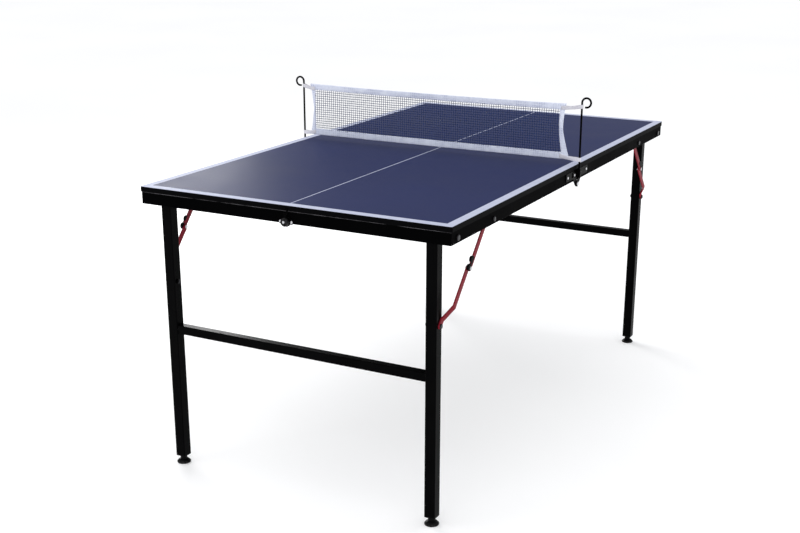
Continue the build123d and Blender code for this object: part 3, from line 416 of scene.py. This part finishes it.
def lattice():
    """The netting: square cords crossing each other in a grid, along the hung surface."""
    y_edge = HALF - END_TAPE * 0.5
    z_low, z_high = LOW + BOTTOM_TAPE * 0.5, HIGH - TOP_TAPE * 0.5
    columns = round(2 * y_edge / CELL)
    rows = round((z_high - z_low) / CELL)
    crossings = [[hang(-y_edge + 2 * y_edge * i / columns + random.uniform(-1, 1) * CORD_WANDER,
                       z_low + (z_high - z_low) * j / rows + random.uniform(-1, 1) * CORD_WANDER,
                       random.uniform(-1, 1) * 0.0002)
                  for j in range(rows + 1)] for i in range(columns + 1)]
    vertices, faces = [], []
    r = CORD_RADIUS
    along_y = [(-r, 0, 0), (0, 0, r), (r, 0, 0), (0, 0, -r)]
    along_z = [(-r, 0, 0), (0, -r, 0), (r, 0, 0), (0, r, 0)]
    for j in range(rows + 1):
        loft([[crossings[i][j] + Vector(o) for o in along_y] for i in range(columns + 1)], vertices, faces)
    for i in range(columns + 1):
        loft([[crossings[i][j] + Vector(o) for o in along_z] for j in range(rows + 1)], vertices, faces)
    return mesh_object("net_netting", vertices, faces, CORD_FINISH)


def section(width, thickness, count=12):
    """A flat rounded section: (across, out) pairs, thicker at its folded edge."""
    points = []
    for k in range(count):
        angle = 2 * math.pi * k / count
        c, s = math.cos(angle), math.sin(angle)
        across = math.copysign(abs(c) ** 0.35, c) * width / 2
        out = math.copysign(abs(s) ** 0.7, s) * thickness / 2
        points.append((across, out * (1.0 + 0.18 * across / (width / 2))))
    return points


def long_tape(name, z_middle, width, up):
    """A tape along the net's top or bottom edge, folded round the netting."""
    vertices, faces = [], []
    profile = section(width, TAPE_THICKNESS)
    steps = 150
    rings = []
    for k in range(steps + 1):
        y = -HALF + 2 * HALF * k / steps
        puff = 1.0 + 0.12 * math.sin(k * 0.9) * math.sin(k * 0.23 + 1.0)
        rings.append([hang(y, z_middle + up * a, o * puff) for a, o in profile])
    loft(rings, vertices, faces)
    return mesh_object(name, vertices, faces, TAPE_FINISH)


def end_tape(name, side):
    """The tape down one end of the net, curled in at its middle."""
    vertices, faces = [], []
    profile = section(END_TAPE, TAPE_THICKNESS * 0.92)
    steps = 44
    rings = []
    for k in range(steps + 1):
        z = LOW + 0.002 + (HIGH - LOW - 0.004) * k / steps
        t = k / steps
        fold = 1.0 + 0.5 * (4 * t * (1 - t)) ** 3
        rings.append([hang(side * (HALF - END_TAPE / 2 + a), z, o * fold) for a, o in profile])
    loft(rings, vertices, faces)
    return mesh_object(name, vertices, faces, TAPE_FINISH)


def stitch_row(start, end, outward, vertices, faces):
    """Small raised thread stitches from start to end, flat points (y, z), on one face of a tape."""
    run = Vector((end[0] - start[0], end[1] - start[1]))
    count = int(run.length / STITCH_PITCH)
    step = run / count
    along = step.normalized()
    across = Vector((-along.y, along.x))
    for k in range(count):
        middle = Vector(start) + step * (k + 0.5)
        rings = []
        for share, size in ((-0.36, 0.35), (-0.2, 1.0), (0.2, 1.0), (0.36, 0.35)):
            at = middle + step * share
            ring = []
            for a, o in ((-1, 0), (0, 1), (1, 0), (0, -1)):
                flat = at + across * a * THREAD_RADIUS * size
                depth = outward * (TAPE_THICKNESS * 0.52 + o * 0.0002 * size)
                ring.append(hang(flat.x, flat.y, depth))
            rings.append(ring)
        loft(rings, vertices, faces)


def stitching():
    """One row of stitches along the inner edge of each tape, on both faces."""
    vertices, faces = [], []
    inner_y = HALF - END_TAPE + 0.003
    for outward in (-1, 1):
        for z in (LOW + BOTTOM_TAPE - 0.003, HIGH - TOP_TAPE + 0.003):
            stitch_row((-inner_y, z), (inner_y, z), outward, vertices, faces)
        for side in (-1, 1):
            stitch_row((side * inner_y, LOW + 0.004), (side * inner_y, HIGH - 0.004), outward,
                       vertices, faces)
    return mesh_object("net_stitches", vertices, faces, THREAD_FINISH)


def strap(name, side, z_net, z_post, width, sway):
    """A loop of webbing from the net's corner round its post and back."""
    ring = WIRE_RADIUS + STRAP_THICKNESS / 2 + 0.0001
    root = hang(side * (HALF - STRAP_LAP), z_net).x
    start = HALF - STRAP_LAP + side * NET_SHIFT
    path = []
    for k in range(13):
        t = k / 12
        y = start + (POST_Y - 0.001 - start) * t
        gap = TAPE_THICKNESS * 0.62 + (ring - TAPE_THICKNESS * 0.62) * t ** 1.6
        bow = STRAP_BOW * math.sin(math.pi * t)
        path.append((gap + bow, y, t, root * (1 - t)))
    turns = 10
    wrap = [(ring * math.cos(math.pi * k / turns), POST_Y + ring * math.sin(math.pi * k / turns), 1.0, 0.0)
            for k in range(1, turns)]
    back = [(-x, y, t, shift) for x, y, t, shift in reversed(path)]
    points = path + wrap + back
    vertices, faces, rings = [], [], []
    for k, (x, y, t, shift) in enumerate(points):
        before, after = points[max(k - 1, 0)], points[min(k + 1, len(points) - 1)]
        run = Vector((after[0] - before[0], after[1] - before[1])).normalized()
        normal = Vector((run.y, -run.x))
        gather = 1.0 - 0.16 * math.sin(math.pi * min(1.0, t)) ** 2 - 0.1 * t
        droop = -STRAP_BOW * math.sin(math.pi * t)
        z = z_net + (z_post - z_net) * t + droop
        ring_points = []
        for a, o in section(width * gather, STRAP_THICKNESS, 10):
            cup = sway * (a / width) ** 2 * 4 * 0.0006 * math.sin(math.pi * t)
            ring_points.append(Vector((x + shift + normal.x * o + cup, side * (y + normal.y * o), z + a)))
        rings.append(ring_points if side > 0 else ring_points[::-1])
    loft(rings, vertices, faces)
    made = mesh_object(name, vertices, faces, STRAP_FINISH)
    length = sum(math.dist(p[:2], q[:2]) for p, q in zip(points, points[1:]))
    return made, length


TAPE_FINISH = webbing("lavender_white_tape", (0.83, 0.87, 0.97), (0.68, 0.72, 0.87), 0.45)
STRAP_FINISH = webbing("grey_white_strap", (0.74, 0.73, 0.78), (0.60, 0.59, 0.65), 0.0)
CORD_FINISH = nylon("navy_nylon_cord", (0.016, 0.038, 0.135), (0.010, 0.028, 0.105), (0.007, 0.020, 0.075))
THREAD_FINISH = nylon("lavender_thread", (0.74, 0.75, 0.88), (0.58, 0.59, 0.74), (0.44, 0.45, 0.60))
WIRE_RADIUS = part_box("net_post_left")[1].x
POST_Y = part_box("net_post_left")[0].y + WIRE_RADIUS

netting_piece = lattice()
top_tape = long_tape("net_tape_top", HIGH - TOP_TAPE / 2, TOP_TAPE, 1)
bottom_tape = long_tape("net_tape_bottom", LOW + BOTTOM_TAPE / 2, BOTTOM_TAPE, -1)
left_tape = end_tape("net_tape_left", 1)
right_tape = end_tape("net_tape_right", -1)
stitches = stitching()
STRAPS = (("net_strap_top_left", 1, HIGH - 0.0125, HIGH - 0.0055, 0.010, 1),
          ("net_strap_top_right", -1, HIGH - 0.0105, HIGH - 0.0045, 0.010, -1),
          ("net_strap_bottom_left", 1, LOW + 0.0075, LOW + 0.0045, 0.0105, -1),
          ("net_strap_bottom_right", -1, LOW + 0.0070, LOW + 0.0020, 0.0105, 1))

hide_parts("net_mesh")
for name, side, z_net, z_post, width, sway in STRAPS:
    piece, length = strap(name, side, z_net, z_post, width, sway)
    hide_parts("net_tapes")
    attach(piece, "net")
for piece in (top_tape, bottom_tape, left_tape, right_tape):
    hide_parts("net_tapes")
    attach(piece, "net")
for piece in (netting_piece, stitches):
    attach(piece, "net")


# ---- Floor, light and camera ----

FLOOR_GLOW = 0.12
SKY_COLOUR = (0.97, 0.98, 1.0, 1)
SKY_AT_HORIZON, SKY_OVERHEAD, SKY_FULL_HEIGHT = 0.60, 0.82, 0.8

def pale_floor():
    """A wide pale floor with faint mottling."""
    g = Graph("pale_floor", Specular_IOR_Level=0.1, Emission_Color=(1, 1, 1, 1), Emission_Strength=FLOOR_GLOW)
    mottle = g.noise(0.8, 4)
    colour = g.mix(g.spread(mottle, 0.3, 0.7), (0.90, 0.90, 0.905), (0.93, 0.93, 0.93))
    rough = g.spread(mottle, 0.3, 0.7, 0.75, 0.9)
    return g.finish(colour, rough, [(g.noise(300, 2), 0.05, 0.0005)])


FLOOR_REACH = 60.0
corners = [(x * FLOOR_REACH, y * FLOOR_REACH, 0) for x, y in ((-1, -1), (1, -1), (1, 1), (-1, 1))]
floor = mesh_object("floor", corners, [(0, 1, 2, 3)], pale_floor(), smooth=False)


def aim(light, target):
    """Turns a light to face a point."""
    light.rotation_euler = (Vector(target) - light.location).to_track_quat("-Z", "Y").to_euler()


def lamp(name, kind, location, target, energy, **settings):
    """A light at a place, facing a target."""
    data = bpy.data.lights.new(name, kind)
    data.energy = energy
    for key, value in settings.items():
        setattr(data, key, value)
    made = bpy.data.objects.new(name, data)
    bpy.context.scene.collection.objects.link(made)
    made.location = location
    aim(made, target)
    return made


sheen = lamp("far_left_sheen", "AREA", (1.68, 3.22, 1.57), (-0.6, 0.3, 0.665), 74, shape="RECTANGLE",
             size=2.4, size_y=1.0)
sheen.visible_camera = False
lamp("front_fill", "AREA", (-3.4, -1.0, 2.0), (0, 0, 0.7), 24, shape="RECTANGLE", size=2.4, size_y=2.0)
lamp("sky_sun", "SUN", (-0.8, 0.6, 5.0), (0, 0, 0), 0.66, angle=math.radians(140))
lamp("overhead_box", "AREA", (0.4, 1.6, 3.4), (0.1, 0, 0.6), 9, shape="RECTANGLE", size=3.2, size_y=2.2)
lamp("left_strip", "AREA", (-2.6, 1.6, 1.2), (-0.5, 0, 0.5), 3, shape="RECTANGLE", size=0.35, size_y=1.9)
lamp("right_strip", "AREA", (1.2, -2.8, 1.0), (0.3, -0.2, 0.45), 4, shape="RECTANGLE", size=0.5, size_y=1.7)

world = bpy.data.worlds.new("pale_room")
world.use_nodes = True
sky = world.node_tree
direction = sky.nodes.new("ShaderNodeSeparateXYZ")
sky.links.new(sky.nodes.new("ShaderNodeTexCoord").outputs["Generated"], direction.inputs[0])
lift = sky.nodes.new("ShaderNodeMapRange")
sky.links.new(direction.outputs["Z"], lift.inputs["Value"])
for socket, value in (("From Max", SKY_FULL_HEIGHT), ("To Min", SKY_AT_HORIZON), ("To Max", SKY_OVERHEAD)):
    lift.inputs[socket].default_value = value
sky.links.new(lift.outputs["Result"], sky.nodes["Background"].inputs["Strength"])
sky.nodes["Background"].inputs["Color"].default_value = SKY_COLOUR
bpy.context.scene.world = world
bpy.context.scene.view_settings.view_transform = "Standard"

CAMERA_PLACE = (-2.7665, -1.3815, 1.2583)
CAMERA_HEADING, CAMERA_DIP, CAMERA_ROLL = (math.radians(v) for v in (28.221, 18.327, 0.018))
CAMERA_LENS, CAMERA_SENSOR = 55.672, 36.0
CAMERA_SHIFT = (0.0018, 0.0562)
forward = Vector((math.cos(CAMERA_HEADING) * math.cos(CAMERA_DIP),
                  math.sin(CAMERA_HEADING) * math.cos(CAMERA_DIP), -math.sin(CAMERA_DIP)))
level = forward.cross(Vector((0, 0, 1))).normalized()
upright = level.cross(forward)
right = level * math.cos(CAMERA_ROLL) + upright * math.sin(CAMERA_ROLL)
up = upright * math.cos(CAMERA_ROLL) - level * math.sin(CAMERA_ROLL)
camera_data = bpy.data.cameras.new("camera")
camera_data.lens = CAMERA_LENS
camera_data.sensor_width = CAMERA_SENSOR
camera_data.shift_x, camera_data.shift_y = CAMERA_SHIFT
camera_data.clip_end = 200.0
camera = bpy.data.objects.new("camera", camera_data)
bpy.context.scene.collection.objects.link(camera)
turn = Matrix((right, up, -forward)).transposed()
camera.matrix_world = Matrix.Translation(CAMERA_PLACE) @ turn.to_4x4()
bpy.context.scene.camera = camera
